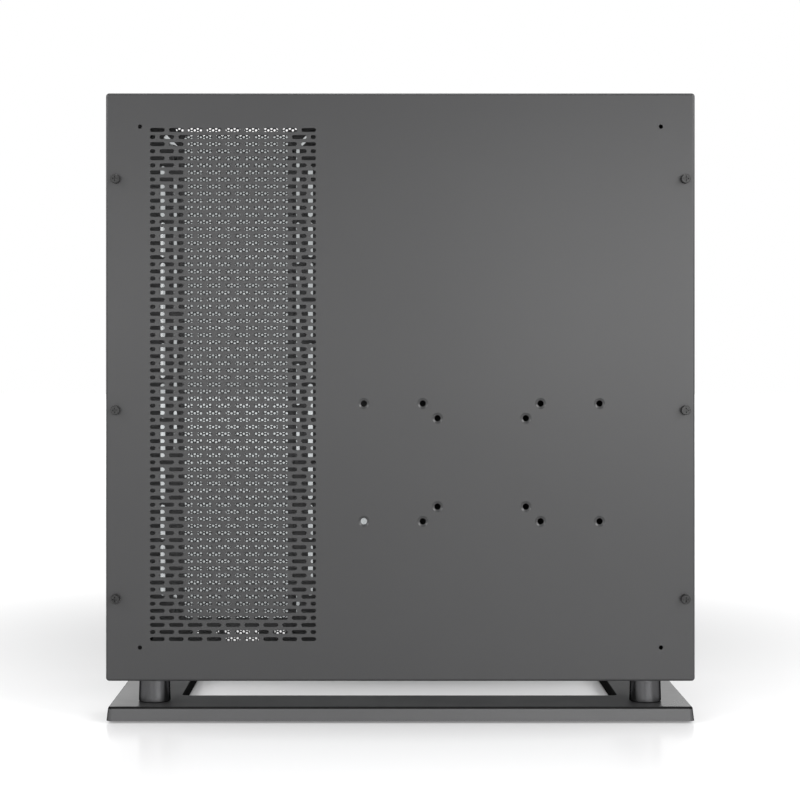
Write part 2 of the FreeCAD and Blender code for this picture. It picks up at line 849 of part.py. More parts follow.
standoff = new_body("standoff", 0, TRAY_Y, BODY_Z, keep=False)
drawing = Drawing(standoff, "hexagon", "XZ_Plane")
around = S.standoff_across / math.sqrt(3)
drawing.outline([
    (around * math.cos(math.radians(60 * turn_step)), around * math.sin(math.radians(60 * turn_step)))
    for turn_step in range(6)
])
grow(standoff, "hexagon_block", drawing, S.standoff_height, reverse=True)
drawing = Drawing(standoff, "stud_lines", "XZ_Plane")
drawing.circle(0, 0, S.standoff_stud)
grow(standoff, "stud", drawing, S.steel)
drawing = Drawing(standoff, "bore_lines", "XZ_Plane")
drawing.circle(0, 0, S.standoff_bore)
cut(standoff, "bore", drawing)
group("board_standoffs", standoff, [(x, 0, z) for x, z in BOARD_HOLES])

# Cable grommets: rubber rings with a lip on each side of the tray

for label, (x, z, length, width, upright) in GROMMETS.items():
    grommet = new_body(label, x, TRAY_Y, BODY_Z + z)
    lip_width = width + 2 * S.grommet_lip
    neck_width = width - 2 * S.seat_gap
    start, end = slot_ends(0, 0, length, width, upright)
    drawing = Drawing(grommet, "front_lip_lines", "XZ_Plane")
    drawing.slot(start, end, lip_width)
    grow(grommet, "front_lip", drawing, S.grommet_lip_thick, reverse=True)
    drawing = Drawing(grommet, "neck_lines", "XZ_Plane")
    drawing.slot(start, end, neck_width)
    grow(grommet, "neck", drawing, S.steel)
    drawing = Drawing(grommet, "rear_lip_lines", "XZ_Plane", S.steel)
    drawing.slot(start, end, lip_width)
    grow(grommet, "rear_lip", drawing, S.grommet_lip_thick)
    drawing = Drawing(grommet, "passage_lines", "XZ_Plane")
    drawing.slot(start, end, neck_width - 2 * S.grommet_wall)
    cut(grommet, "passage", drawing)

# Power-supply bracket: an upright plate on a foot, with the window and holes of the supply's end

psu = new_body("psu_bracket", S.psu_x, TRAY_Y, BODY_Z + S.psu_z)
drawing = Drawing(psu, "psu_section", "XY_Plane")
drawing.outline([
    (-S.foot_flange, 0), (S.steel, 0), (S.steel, S.steel + S.psu_depth + S.steel),
    (0, S.steel + S.psu_depth + S.steel), (0, S.steel), (-S.foot_flange, S.steel),
])
grow(psu, "psu_angle", drawing, S.psu_length)
round_edges(
    psu, "psu_fold", lambda edge: lies_at(edge, "x", S.steel) and lies_at(edge, "y", 0), S.bend)
PSU_HOLES = [(80.0, 6.0), (80.0, 144.0), (16.0, 6.0), (6.0, 120.0)]
drawing = Drawing(psu, "psu_window_lines", "YZ_Plane")
drawing.rounded(
    S.steel + S.psu_depth / 2, S.psu_length / 2, S.psu_depth - 1.6 * S.psu_border,
    S.psu_length - 2.4 * S.psu_border, S.cpu_corner)
for y, z in PSU_HOLES:
    drawing.circle(S.steel + y * S.psu_depth / 86, z * S.psu_length / 150, S.psu_hole)
cut(psu, "psu_window", drawing)
drawing = Drawing(psu, "psu_foot_lines", "XZ_Plane")
for x, z in PSU_SCREWS:
    drawing.circle(x - S.psu_x, z - S.psu_z, S.screw_hole)
cut(psu, "psu_foot_holes", drawing)

# Expansion-slot bracket with its blanking covers

pci = new_body("pci_bracket", S.pci_x, TRAY_Y, BODY_Z + S.pci_z)
drawing = Drawing(pci, "pci_section", "XY_Plane")
foot_end = S.steel + S.foot_flange
drawing.outline([
    (0, 0), (foot_end, 0), (foot_end, S.steel), (S.steel, S.steel),
    (S.steel, S.pci_reach - S.steel), (S.pci_lip, S.pci_reach - S.steel),
    (S.pci_lip, S.pci_reach), (0, S.pci_reach),
])
grow(pci, "pci_channel", drawing, PCI_HEIGHT)
round_edges(
    pci, "pci_folds",
    lambda edge: lies_at(edge, "x", 0) and (lies_at(edge, "y", 0) or lies_at(edge, "y", S.pci_reach)), S.bend)
drawing = Drawing(pci, "pci_window_lines", "YZ_Plane")
drawing.rectangle(S.pci_reach / 2, S.pci_pitch / 2, S.pci_reach - 2 * S.pci_margin, S.pci_window)
window = cut(pci, "pci_window", drawing)
repeat_grid(pci, "pci_windows", window, 1, S.pci_reach, S.pci_count, S.pci_pitch)
drawing = Drawing(pci, "pci_foot_lines", "XZ_Plane", -S.steel)
for x, z in PCI_SCREWS:
    drawing.circle(x - S.pci_x, z - S.pci_z, S.screw_hole)
cut(pci, "pci_foot_holes", drawing, 2 * S.steel, reverse=True)
blank_screw_x = S.steel + (S.pci_lip - S.steel) / 2
drawing = Drawing(pci, "pci_lip_lines", "XZ_Plane", -S.pci_reach)
drawing.circle(blank_screw_x, S.pci_pitch / 2, S.screw_hole)
lip_hole = cut(pci, "pci_lip_hole", drawing, 2 * S.steel, reverse=True)
repeat_grid(pci, "pci_lip_holes", lip_hole, 1, S.pci_reach, S.pci_count, S.pci_pitch)

for number in range(int(round(float(S.pci_count)))):
    height = S.pci_z + (number + 0.5) * S.pci_pitch
    blank = new_body(f"slot_cover_{number + 1}", S.pci_x, TRAY_Y, BODY_Z + height)
    drawing = Drawing(blank, "blank_section", "XY_Plane", -S.blank_width / 2)
    drawing.outline([
        (-S.blank_thick, S.pci_margin / 2), (0, S.pci_margin / 2), (0, S.pci_reach),
        (S.pci_lip, S.pci_reach), (S.pci_lip, S.pci_reach + S.blank_thick),
        (-S.blank_thick, S.pci_reach + S.blank_thick),
    ])
    grow(blank, "blank_angle", drawing, S.blank_width)
    drawing = Drawing(blank, "blank_hole_lines", "XZ_Plane")
    drawing.circle(blank_screw_x, 0, S.screw_hole)
    cut(blank, "blank_hole", drawing)

# Drive brackets behind the tray: a plate with two ears

for label, height in DRIVES.items():
    drive = new_body(label, S.drive_x, TRAY_Y - S.steel, BODY_Z + height)
    edge_x = S.drive_width / 2
    drawing = Drawing(drive, "drive_section", "XY_Plane", -S.drive_height / 2)
    drawing.outline([
        (-edge_x, -S.drive_ear), (S.steel - edge_x, -S.drive_ear), (S.steel - edge_x, -S.steel),
        (edge_x - S.steel, -S.steel), (edge_x - S.steel, -S.drive_ear), (edge_x, -S.drive_ear),
        (edge_x, 0), (-edge_x, 0),
    ])
    grow(drive, "drive_channel", drawing, S.drive_height)
    round_edges(
        drive, "drive_folds",
        lambda edge: lies_at(edge, "y", 0) and abs(edge.BoundBox.Center.x) > float(edge_x) - 0.1, S.bend)
    drawing = Drawing(drive, "drive_hole_lines", "XZ_Plane")
    for side in (-1, 1):
        drawing.circle(side * S.drive_width / 4, 0, S.screw_hole)
    cut(drive, "drive_holes", drawing)
    drawing = Drawing(drive, "ear_hole_lines", "YZ_Plane")
    for side in (-1, 1):
        drawing.circle(-S.drive_ear / 2, side * S.drive_height / 3, S.screw_hole)
    cut(drive, "ear_holes", drawing)

# Small pan-head screws, once with the head in front of the tray and once behind it


def pan_screw(label, y, z, shank, length, head, head_height, forward):
    """A screw along Y whose head seat lies at its origin; forward points the shank at the glass."""
    body = new_body(label, 0, y, z, keep=False)
    way = 1 if forward else -1
    drawing = Drawing(body, f"{label}_profile", "XY_Plane")
    drawing.outline([
        (0, way * length), (0, -way * head_height), (head / 2 - head_height / 3, -way * head_height),
        (head / 2, -way * head_height / 2), (head / 2, 0), (shank / 2, 0), (shank / 2, way * length),
    ])
    turn(body, f"{label}_turned", drawing, "V_Axis")
    return body


front_screw = pan_screw(
    "front_screw", TRAY_Y + S.steel, BODY_Z, S.screw_shank, S.screw_length, S.screw_head,
    S.screw_head_height, forward=False)
rear_screw = pan_screw(
    "rear_screw", TRAY_Y - 2 * S.steel, BODY_Z, S.screw_shank, S.screw_length, S.screw_head,
    S.screw_head_height, forward=True)
group("bracket_screws", front_screw, [(x, 0, z) for x, z in PSU_SCREWS + PCI_SCREWS])
group("drive_screws", rear_screw, [(x, 0, z) for x, z in DRIVE_SCREWS])
blank_screw = pan_screw(
    "blank_screw", TRAY_Y + S.pci_reach + S.blank_thick, BODY_Z + S.pci_z, S.screw_shank, S.screw_length,
    S.screw_head, S.screw_head_height, forward=False)
group("slot_screws", blank_screw, [
    (S.pci_x + blank_screw_x, 0, (number + 0.5) * S.pci_pitch)
    for number in range(int(round(float(S.pci_count))))
])

# Base: a drafted frame, hollow underneath, with bosses for the posts and the feet

base = new_body("base_frame", 0, REAR_Y + S.base_depth / 2, S.foot_height)
drawing = Drawing(base, "base_outline", "XY_Plane")
drawing.rounded(0, 0, S.base_width, S.base_depth, S.base_corner)
drawing.rounded(
    0, 0, S.base_width - 2 * S.base_rail, S.base_depth - 2 * S.base_rail, S.base_corner)
frame = grow(base, "base_block", drawing, S.base_thick)
bind(frame, "TaperAngle", -S.base_draft)
round_edges(base, "base_edges", lambda edge: lies_at(edge, "z", S.base_thick), S.base_edge)
POST_SPOTS = [(side * S.post_spacing / 2, (S.body_depth - S.base_depth) / 2) for side in (-1, 1)]
FEET = [
    (side * S.foot_x, front * (S.base_depth / 2 - S.foot_inset)) for side in (-1, 1) for front in (-1, 1)
]
drawing = Drawing(base, "base_hollow_lines", "XY_Plane")
drawing.rounded(
    0, 0, S.base_width - 3 * S.base_wall, S.base_depth - 3 * S.base_wall, S.base_corner)
inner_width = S.base_width - 2 * S.base_rail
inner_depth = S.base_depth - 2 * S.base_rail
drawing.rounded(0, 0, inner_width + 3 * S.base_wall, inner_depth + 3 * S.base_wall, S.base_corner)
for x, y in POST_SPOTS:
    drawing.circle(x, y, S.post_boss)
for x, y in FEET:
    drawing.circle(x, y, S.foot_diameter)
cut(base, "base_hollow", drawing, S.base_thick - S.base_wall, reverse=True)
drawing = Drawing(base, "bolt_hole_lines", "XY_Plane")
for x, y in POST_SPOTS:
    drawing.circle(x, y, S.bolt_hole)
cut(base, "bolt_holes", drawing)
drawing = Drawing(base, "bolt_sink_lines", "XY_Plane")
for x, y in POST_SPOTS:
    drawing.circle(x, y, S.bolt_sink)
cut(base, "bolt_sinks", drawing, S.bolt_sink_depth, reverse=True)

foot = new_body("foot", 0, REAR_Y + S.base_depth / 2, 0, keep=False)
drawing = Drawing(foot, "foot_profile", "XZ_Plane")
drawing.outline([
    (0, 0), (S.foot_diameter / 2 - S.foot_height / 2, 0), (S.foot_diameter / 2, S.foot_height / 2),
    (S.foot_diameter / 2, S.foot_height), (0, S.foot_height),
])
turn(foot, "foot_turned", drawing, "V_Axis")
group("base_feet", foot, [(x, y, 0) for x, y in FEET])

# Stand posts with their bolts and nuts

POST_HEIGHT = S.body_lift + SKIN
for label, side in (("stand_post_left", -1), ("stand_post_right", 1)):
    post = new_body(label, side * S.post_spacing / 2, POST_Y, BASE_TOP)
    drawing = Drawing(post, "post_profile", "XZ_Plane")
    drawing.outline([
        (S.bolt_hole / 2, 0),
        (S.post_foot / 2 - S.post_chamfer, 0),
        (S.post_foot / 2, S.post_chamfer),
        (S.post_head / 2, POST_HEIGHT - S.post_chamfer),
        (S.post_head / 2 - S.post_chamfer, POST_HEIGHT),
        (S.bolt_hole / 2, POST_HEIGHT),
    ])
    turn(post, "post_turned", drawing, "V_Axis")

bolt = new_body("bolt", 0, POST_Y, S.foot_height + S.bolt_sink_depth, keep=False)
drawing = Drawing(bolt, "bolt_profile", "XZ_Plane")
bolt_top = S.base_thick - S.bolt_sink_depth + POST_HEIGHT + S.steel + S.nut_height + 1
drawing.outline([
    (0, -S.bolt_head_height), (S.bolt_head / 2, -S.bolt_head_height), (S.bolt_head / 2, 0),
    (S.bolt_shank / 2, 0), (S.bolt_shank / 2, bolt_top), (0, bolt_top),
])
turn(bolt, "bolt_turned", drawing, "V_Axis")
group("post_bolts", bolt, [(x, 0, 0) for x, y in POST_SPOTS])

nut = new_body("nut", 0, POST_Y, BODY_Z + SKIN + S.steel, keep=False)
drawing = Drawing(nut, "nut_lines", "XY_Plane")
around = S.nut_across / math.sqrt(3)
drawing.outline([
    (around * math.cos(math.radians(60 * turn_step)), around * math.sin(math.radians(60 * turn_step)))
    for turn_step in range(6)
])
drawing.circle(0, 0, S.bolt_shank + S.seat_gap)
grow(nut, "nut_block", drawing, S.nut_height)
group("post_nuts", nut, [(x, 0, 0) for x, y in POST_SPOTS])

# Front glass on four posts, each with two rubber washers, a cap in front and a screw behind

GLASS_Y = TRAY_Y + S.glass_post_length + S.washer_thick
CAP_Y = GLASS_Y + S.glass_thick + S.washer_thick
glass = new_body("glass_panel", 0, GLASS_Y, BODY_Z + MIDDLE_Z)
drawing = Drawing(glass, "glass_outline", "XZ_Plane")
drawing.rounded(0, 0, S.glass_width, S.glass_height, S.glass_corner)
for x, z in CORNERS.values():
    drawing.circle(x, z - MIDDLE_Z, S.glass_hole)
grow(glass, "glass_sheet", drawing, S.glass_thick, reverse=True)
round_edges(
    glass, "glass_edges",
    lambda edge: (lies_at(edge, "y", 0) or lies_at(edge, "y", S.glass_thick)) and len(edge.Vertexes) == 2,
    S.glass_chamfer, kind="Chamfer")

for corner, (x, z) in CORNERS.items():
    post = new_body(f"glass_post_{corner}", x, TRAY_Y, BODY_Z + z)
    drawing = Drawing(post, "glass_post_profile", "XY_Plane")
    bore_end = S.glass_post_length - S.glass_post_bore_depth
    screw_end = S.glass_screw_length + S.washer_thick
    drawing.outline([
        (S.glass_screw_bore / 2, 0), (S.glass_post_foot / 2, 0),
        (S.glass_post_foot / 2, S.glass_post_foot_height - S.washer_thick),
        (S.glass_post / 2, S.glass_post_foot_height),
        (S.glass_post / 2, S.glass_post_length),
        (S.glass_post_bore / 2, S.glass_post_length), (S.glass_post_bore / 2, bore_end),
        (0, bore_end), (0, screw_end), (S.glass_screw_bore / 2, screw_end),
    ])
    turn(post, "glass_post_turned", drawing, "V_Axis")

    cap = new_body(f"glass_cap_{corner}", x, CAP_Y, BODY_Z + z)
    drawing = Drawing(cap, "cap_profile", "XY_Plane")
    drawing.outline([
        (0, S.cap_height), (0, -S.cap_reach), (S.cap_stem / 2, -S.cap_reach), (S.cap_stem / 2, 0),
        (S.cap_head / 2, 0), (S.cap_head / 2, S.cap_height - S.cap_crown),
        (S.cap_head / 2 - S.cap_crown, S.cap_height),
    ])
    turn(cap, "cap_turned", drawing, "V_Axis")
    drawing = Drawing(cap, "scallop_lines", "XZ_Plane", -S.cap_height)
    drawing.circle(S.cap_head / 2 + S.cap_scallop / 4, 0, S.cap_scallop)
    scallop = cut(cap, "scallop", drawing, S.cap_height - S.cap_crown, reverse=True)
    repeat_round(cap, "scallops", scallop, S.cap_scallops)

washer = new_body("washer", 0, GLASS_Y - S.washer_thick, BODY_Z, keep=False)
drawing = Drawing(washer, "washer_lines", "XZ_Plane")
drawing.circle(0, 0, S.washer_outside)
drawing.circle(0, 0, S.washer_inside)
grow(washer, "washer_ring", drawing, S.washer_thick, reverse=True)
group("glass_washers", washer, [
    (x, step * (S.washer_thick + S.glass_thick), z) for x, z in CORNERS.values() for step in (0, 1)
])
glass_screw = pan_screw(
    "glass_screw", TRAY_Y - S.steel, BODY_Z, S.glass_screw, S.glass_screw_length, S.glass_screw_head,
    S.glass_screw_head_height, forward=True)
group("glass_post_screws", glass_screw, [(x, 0, z) for x, z in CORNERS.values()])

# Port panel: bezel in the side wall, board on its legs, ports, switches and two push buttons

IO_X = -SHELL_WIDTH / 2
IO_Y = REAR_Y + S.io_y
IO_Z = BODY_Z + S.io_z
PORTS = [
    ("usb_a_upper", S.usb_upper_z, S.usb_length, S.usb_width, S.usb_tongue),
    ("usb_a_lower", S.usb_lower_z, S.usb_length, S.usb_width, S.usb_tongue),
]
BUTTONS = [
    ("power_button", S.power_z, S.power_bore, S.power_stem, "power_switch", S.power_switch),
    ("reset_button", S.reset_z, S.reset_bore, S.reset_stem, "reset_switch", S.reset_switch),
]
JACKS = [("audio_jack_upper", S.audio_upper_z), ("audio_jack_lower", S.audio_lower_z)]

bezel = new_body("io_bezel", IO_X, IO_Y, IO_Z)
drawing = Drawing(bezel, "bezel_lip_lines", "YZ_Plane")
drawing.rounded(
    0, 0, S.io_width + 2 * S.io_lip, S.io_length + 2 * S.io_lip, S.io_corner + S.io_lip)
grow(bezel, "bezel_lip", drawing, S.io_lip_thick, reverse=True)
drawing = Drawing(bezel, "bezel_neck_lines", "YZ_Plane")
drawing.rounded(0, 0, S.io_width, S.io_length, S.io_corner)
grow(bezel, "bezel_neck", drawing, S.io_neck)
drawing = Drawing(bezel, "leg_lines", "YZ_Plane")
for side in (-1, 1):
    for rise in (-1, 1):
        drawing.circle(side * S.io_leg_y, rise * S.io_leg_z, S.io_leg)
grow(bezel, "legs", drawing, S.io_board_x)
drawing = Drawing(bezel, "port_lines", "YZ_Plane")
for label, height, bore, stem, switch, span in BUTTONS:
    drawing.circle(0, height, bore)
for label, height, length, width, tongue in PORTS:
    drawing.rectangle(0, height, width + 2 * S.port_gap, length + 2 * S.port_gap)
start, end = slot_ends(0, S.usb_c_z, S.usb_c_length, S.usb_c_width, True)
drawing.slot(start, end, S.usb_c_width + 2 * S.port_gap)
for label, height in JACKS:
    drawing.circle(0, height, S.audio_ring + 2 * S.port_gap)
cut(bezel, "port_openings", drawing)

board = new_body("io_board", IO_X + S.io_board_x, IO_Y, IO_Z)
drawing = Drawing(board, "board_lines", "YZ_Plane")
drawing.rectangle(0, 0, S.io_width - 2, S.io_length - 2)
grow(board, "board_sheet", drawing, S.io_board_thick)

for label, height, bore, stem, switch, span in BUTTONS:
    button = new_body(label, IO_X, IO_Y, IO_Z + height)
    cap_radius = bore / 2 - S.slide_gap
    flange_front = S.io_neck + S.slide_gap
    flange_back = flange_front + S.button_flange_thick
    stem_end = S.io_board_x - S.button_travel - 2 * S.slide_gap
    rim = S.button_flange / 3
    drawing = Drawing(button, f"{label}_profile", "XY_Plane")
    drawing.outline([
        (-S.io_lip_thick, 0), (stem_end, 0), (stem_end, stem / 2), (flange_back, stem / 2),
        (flange_back, bore / 2 + S.button_flange), (flange_front, bore / 2 + S.button_flange),
        (flange_front, cap_radius), (rim - S.io_lip_thick, cap_radius),
        (-S.io_lip_thick, cap_radius - rim),
    ])
    turn(button, f"{label}_turned", drawing, "H_Axis")
    housing = new_body(switch, IO_X + S.io_board_x, IO_Y, IO_Z + height)
    drawing = Drawing(housing, f"{switch}_lines", "YZ_Plane")
    drawing.rectangle(0, 0, span, span)
    drawing.circle(0, 0, stem + 2 * S.slide_gap)
    grow(housing, f"{switch}_block", drawing, S.switch_height, reverse=True)


def hollow_port(label, height, length, width, tongue, round_ends):
    """A metal socket on the board: a thin shell with a tongue standing on its floor."""
    body = new_body(label, IO_X, IO_Y, IO_Z + height)
    depth = S.io_board_x - S.port_inset
    for name, less in (("socket", 0), ("socket_inside", S.usb_shell)):
        drawing = Drawing(body, f"{name}_lines", "YZ_Plane", S.port_inset)
        if round_ends:
            start, end = slot_ends(0, 0, length, width, True)
            drawing.slot(start, end, width - 2 * less)
        else:
            drawing.rectangle(0, 0, width - 2 * less, length - 2 * less)
        if name == "socket":
            grow(body, name, drawing, depth)
        else:
            cut(body, name, drawing, depth - S.port_floor, reverse=True)
    drawing = Drawing(body, "tongue_lines", "YZ_Plane", 3 * S.port_inset)
    drawing.rectangle(0, 0, tongue, length - 1.1 * width)
    grow(body, "tongue", drawing, depth - 2 * S.port_inset)


for label, height, length, width, tongue in PORTS:
    hollow_port(label, height, length, width, tongue, round_ends=False)
hollow_port("usb_c_port", S.usb_c_z, S.usb_c_length, S.usb_c_width, S.usb_c_tongue, round_ends=True)

for label, height in JACKS:
    jack = new_body(label, IO_X, IO_Y, IO_Z + height)
    drawing = Drawing(jack, f"{label}_profile", "XY_Plane")
    floor = S.io_board_x - S.port_floor
    drawing.outline([
        (S.port_inset, S.audio_bore / 2), (floor, S.audio_bore / 2), (floor, 0), (S.io_board_x, 0),
        (S.io_board_x, S.audio_ring / 2), (S.port_inset, S.audio_ring / 2),
    ])
    turn(jack, f"{label}_turned", drawing, "H_Axis")

# Every piece is sound before it is written

DOC.recompute()
for thing in DOC.Objects:
    if "Invalid" in thing.State or "Error" in thing.State:
        raise RuntimeError(f"{thing.Label} did not build: {thing.State}")
os.makedirs("parts", exist_ok=True)
for piece in PIECES:
    if piece.Shape.isNull() or not piece.Shape.isValid() or not piece.Shape.Solids:
        raise RuntimeError(f"{piece.Label} has no sound solid")
    piece.Shape.exportStep(f"parts/{piece.Label}.step")
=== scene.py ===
import json
import math

import bmesh
import bpy
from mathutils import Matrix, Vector
from mathutils.geometry import delaunay_2d_cdt

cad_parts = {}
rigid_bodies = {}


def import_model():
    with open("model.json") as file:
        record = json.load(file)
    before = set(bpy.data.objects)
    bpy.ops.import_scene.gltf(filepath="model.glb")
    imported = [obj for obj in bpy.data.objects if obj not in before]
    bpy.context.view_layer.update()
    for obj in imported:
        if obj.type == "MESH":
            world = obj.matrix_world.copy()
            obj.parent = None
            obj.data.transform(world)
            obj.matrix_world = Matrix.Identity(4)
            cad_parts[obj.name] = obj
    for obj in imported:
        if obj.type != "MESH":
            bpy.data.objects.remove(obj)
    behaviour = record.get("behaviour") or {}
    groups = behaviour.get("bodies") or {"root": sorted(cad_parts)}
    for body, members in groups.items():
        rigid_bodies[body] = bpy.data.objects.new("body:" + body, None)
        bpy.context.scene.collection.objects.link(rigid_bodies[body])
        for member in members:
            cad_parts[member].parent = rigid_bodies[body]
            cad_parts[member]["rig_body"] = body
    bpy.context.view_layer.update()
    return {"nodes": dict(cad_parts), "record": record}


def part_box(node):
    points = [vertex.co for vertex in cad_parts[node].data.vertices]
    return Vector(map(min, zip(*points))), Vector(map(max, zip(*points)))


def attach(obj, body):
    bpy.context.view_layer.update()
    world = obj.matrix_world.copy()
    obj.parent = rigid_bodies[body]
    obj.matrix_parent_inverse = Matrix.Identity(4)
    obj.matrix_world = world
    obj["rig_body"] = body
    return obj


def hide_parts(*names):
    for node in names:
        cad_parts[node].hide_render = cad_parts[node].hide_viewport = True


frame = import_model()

NODES = frame["nodes"]
RECORD = frame["record"]
MOUNTS = {mount["name"]: mount for mount in RECORD["mounts"]}
FINISH_OF = {row["node"]: row["material_slot"] for row in RECORD["subparts"]}
MM = 0.001
QUARTER_TURN = math.pi / 2
HALF_TURN = math.pi
FULL_TURN = 2 * math.pi


# Shader arithmetic

# Where a Mix node keeps the two colours that it takes and the one that it gives
FIRST_COLOUR = 6
SECOND_COLOUR = 7
MIXED_COLOUR = 2


class Strand:
    """One output of a finish's nodes. Arithmetic on it adds Math nodes."""

    def __init__(self, finish, socket):
        self.finish = finish
        self.socket = socket

    def math(self, operation, first, second):
        return self.finish.node("ShaderNodeMath", {"operation": operation}, {0: first, 1: second})

    def __add__(self, other):
        return self.math("ADD", self, other)

    def __radd__(self, other):
        return self.math("ADD", other, self)

    def __sub__(self, other):
        return self.math("SUBTRACT", self, other)

    def __rsub__(self, other):
        return self.math("SUBTRACT", other, self)

    def __mul__(self, other):
        return self.math("MULTIPLY", self, other)

    def __rmul__(self, other):
        return self.math("MULTIPLY", other, self)

    def __abs__(self):
        return self.finish.node("ShaderNodeMath", {"operation": "ABSOLUTE"}, {0: self})

    def most(self, other):
        """The greater of the two."""
        return self.math("MAXIMUM", self, other)


class Finish:
    """The nodes of one material or of the sky."""

    def __init__(self, owner):
        self.owner = owner
        owner.use_nodes = True
        self.tree = owner.node_tree
        self.tree.nodes.clear()

    def node(self, kind, settings=None, inputs=None, output=0):
        """Makes a node, its settings first, and gives back one of its outputs where it has any."""
        made = self.tree.nodes.new(kind)
        for name, value in (settings or {}).items():
            setattr(made, name, value)
        for name, value in (inputs or {}).items():
            if isinstance(value, Strand):
                self.tree.links.new(value.socket, made.inputs[name])
            else:
                made.inputs[name].default_value = value
        return Strand(self, made.outputs[output]) if len(made.outputs) else None

    def place(self):
        return self.node("ShaderNodeTexCoord", output="Object")

    def axis(self, vector, name):
        return self.node("ShaderNodeSeparateXYZ", {}, {0: vector}, name)

    def noise(self, where, pattern):
        """Noise of a pattern, which is its scale, detail and roughness."""
        scale, detail, rough = pattern
        return self.node(
            "ShaderNodeTexNoise", {},
            {"Vector": where, "Scale": scale, "Detail": detail, "Roughness": rough})

    def mix(self, share, first, second):
        """A colour between two colours."""
        return self.node(
            "ShaderNodeMix", {"data_type": "RGBA"},
            {"Factor": share, FIRST_COLOUR: first, SECOND_COLOUR: second}, MIXED_COLOUR)

    def shades(self, share, level, span, blue=1.0):
        """A grey between two multiples of a level."""
        low, high = span
        return self.mix(share, grey(low * level, blue), grey(high * level, blue))

    def stretch(self, value, span):
        """A value moved from the ends of a span to 0 and 1, and held there."""
        low, high = span
        return self.node(
            "ShaderNodeMapRange", {"clamp": True}, {"Value": value, "From Min": low, "From Max": high})

    def bump(self, height, depth, strength):
        return self.node(
            "ShaderNodeBump", {}, {"Height": height, "Distance": depth, "Strength": strength})

    def surface(self, sockets):
        return self.node("ShaderNodeBsdfPrincipled", {}, sockets)

    def close(self, shader, kind="ShaderNodeOutputMaterial"):
        self.node(kind, {}, {"Surface": shader})
        return self.owner


def new_finish(name):
    return Finish(bpy.data.materials.new(name))


def grey(level, blue=1.0):
    return (level, level, level * blue, 1.0)


def blend(share, first, second):
    """A share of the first value, and the rest from the second."""
    return share * first + (1 - share) * second


def around(middle, swing, value):
    """A number that a texture moves by half the swing to either side of its middle."""
    return middle - swing / 2 + swing * value


# Finishes: a noise pattern is its scale, detail and roughness, and shades are multiples of a grey level

BLACK = (0, 0, 0, 1)
WHITE = (1, 1, 1, 1)
BLUE_CAST = 1.03
SMEARS = (18, 4.0, 0.6)
LINE_DEPTH = 0.01 * MM
LINE_STRENGTH = 0.5

POWDER_GRAINS = (1500, 3.0, 0.6)
POWDER_PEEL = (420, 1.0, 0.4)
POWDER_CLOUDS = (7, 2.0, 0.5)
GRAINS_IN_SHADE = 0.7
GRAINS_IN_RELIEF = 0.6
POWDER_SPAN = (0.3, 0.7)
POWDER_SHADES = (0.88, 1.12)
POWDER_SWING = 0.12
POWDER_DEPTH = 0.05 * MM
POWDER_STRENGTH = 0.6


def powder_coat(name, level, sheen=0.5, rough=0.5):
    """Baked powder paint: fine grains under a soft skin, with slow clouds of shade."""
    coat = new_finish(name)
    where = coat.place()
    grains = coat.noise(where, POWDER_GRAINS)
    peel = coat.noise(where, POWDER_PEEL)
    clouds = coat.noise(where, POWDER_CLOUDS)
    shade = coat.stretch(blend(GRAINS_IN_SHADE, grains, clouds), POWDER_SPAN)
    relief = blend(GRAINS_IN_RELIEF, grains, peel)
    return coat.close(coat.surface({
        "Base Color": coat.shades(shade, level, POWDER_SHADES, BLUE_CAST),
        "Roughness": around(rough, POWDER_SWING, grains),
        "Specular IOR Level": sheen,
        "Normal": coat.bump(relief, POWDER_DEPTH, POWDER_STRENGTH)}))


# Spans of the normal's rise on the top and the rounded edges, and of its reach aside on the cheeks: the
# painted shade goes on these faces
FACES_UP = (0.85, 0.97)
FACES_ROUND = (0.2, 0.35)
FACES_ASIDE = (0.6, 0.85)

# Metres from the middle between which the top turns from dull to polished
BASE_ENDS = (0.219, 0.224)

BASE_PEEL = (160, 1.0, 0.4)
SIDE_SHADES = (0.92, 1.08)
# Greys of the top, lower than those of the front and back: painted shade
TOP_PAINTED_SHADE = (0.5, 0.6)
SIDE_ROUGH = 0.28
SMEAR_ROUGH = 0.05
SMEAR_SPAN = (0.35, 0.7)
TOP_ROUGH = 0.27
END_POLISH = 0.28
BASE_DEPTH = 0.02 * MM
BASE_STRENGTH = 0.25
# Near-black diffuse greys for the rounded edges and cheeks: painted shade
EDGE_PAINTED_SHADE_DARK = grey(0.012)
EDGE_PAINTED_SHADE_PALE = grey(0.02)


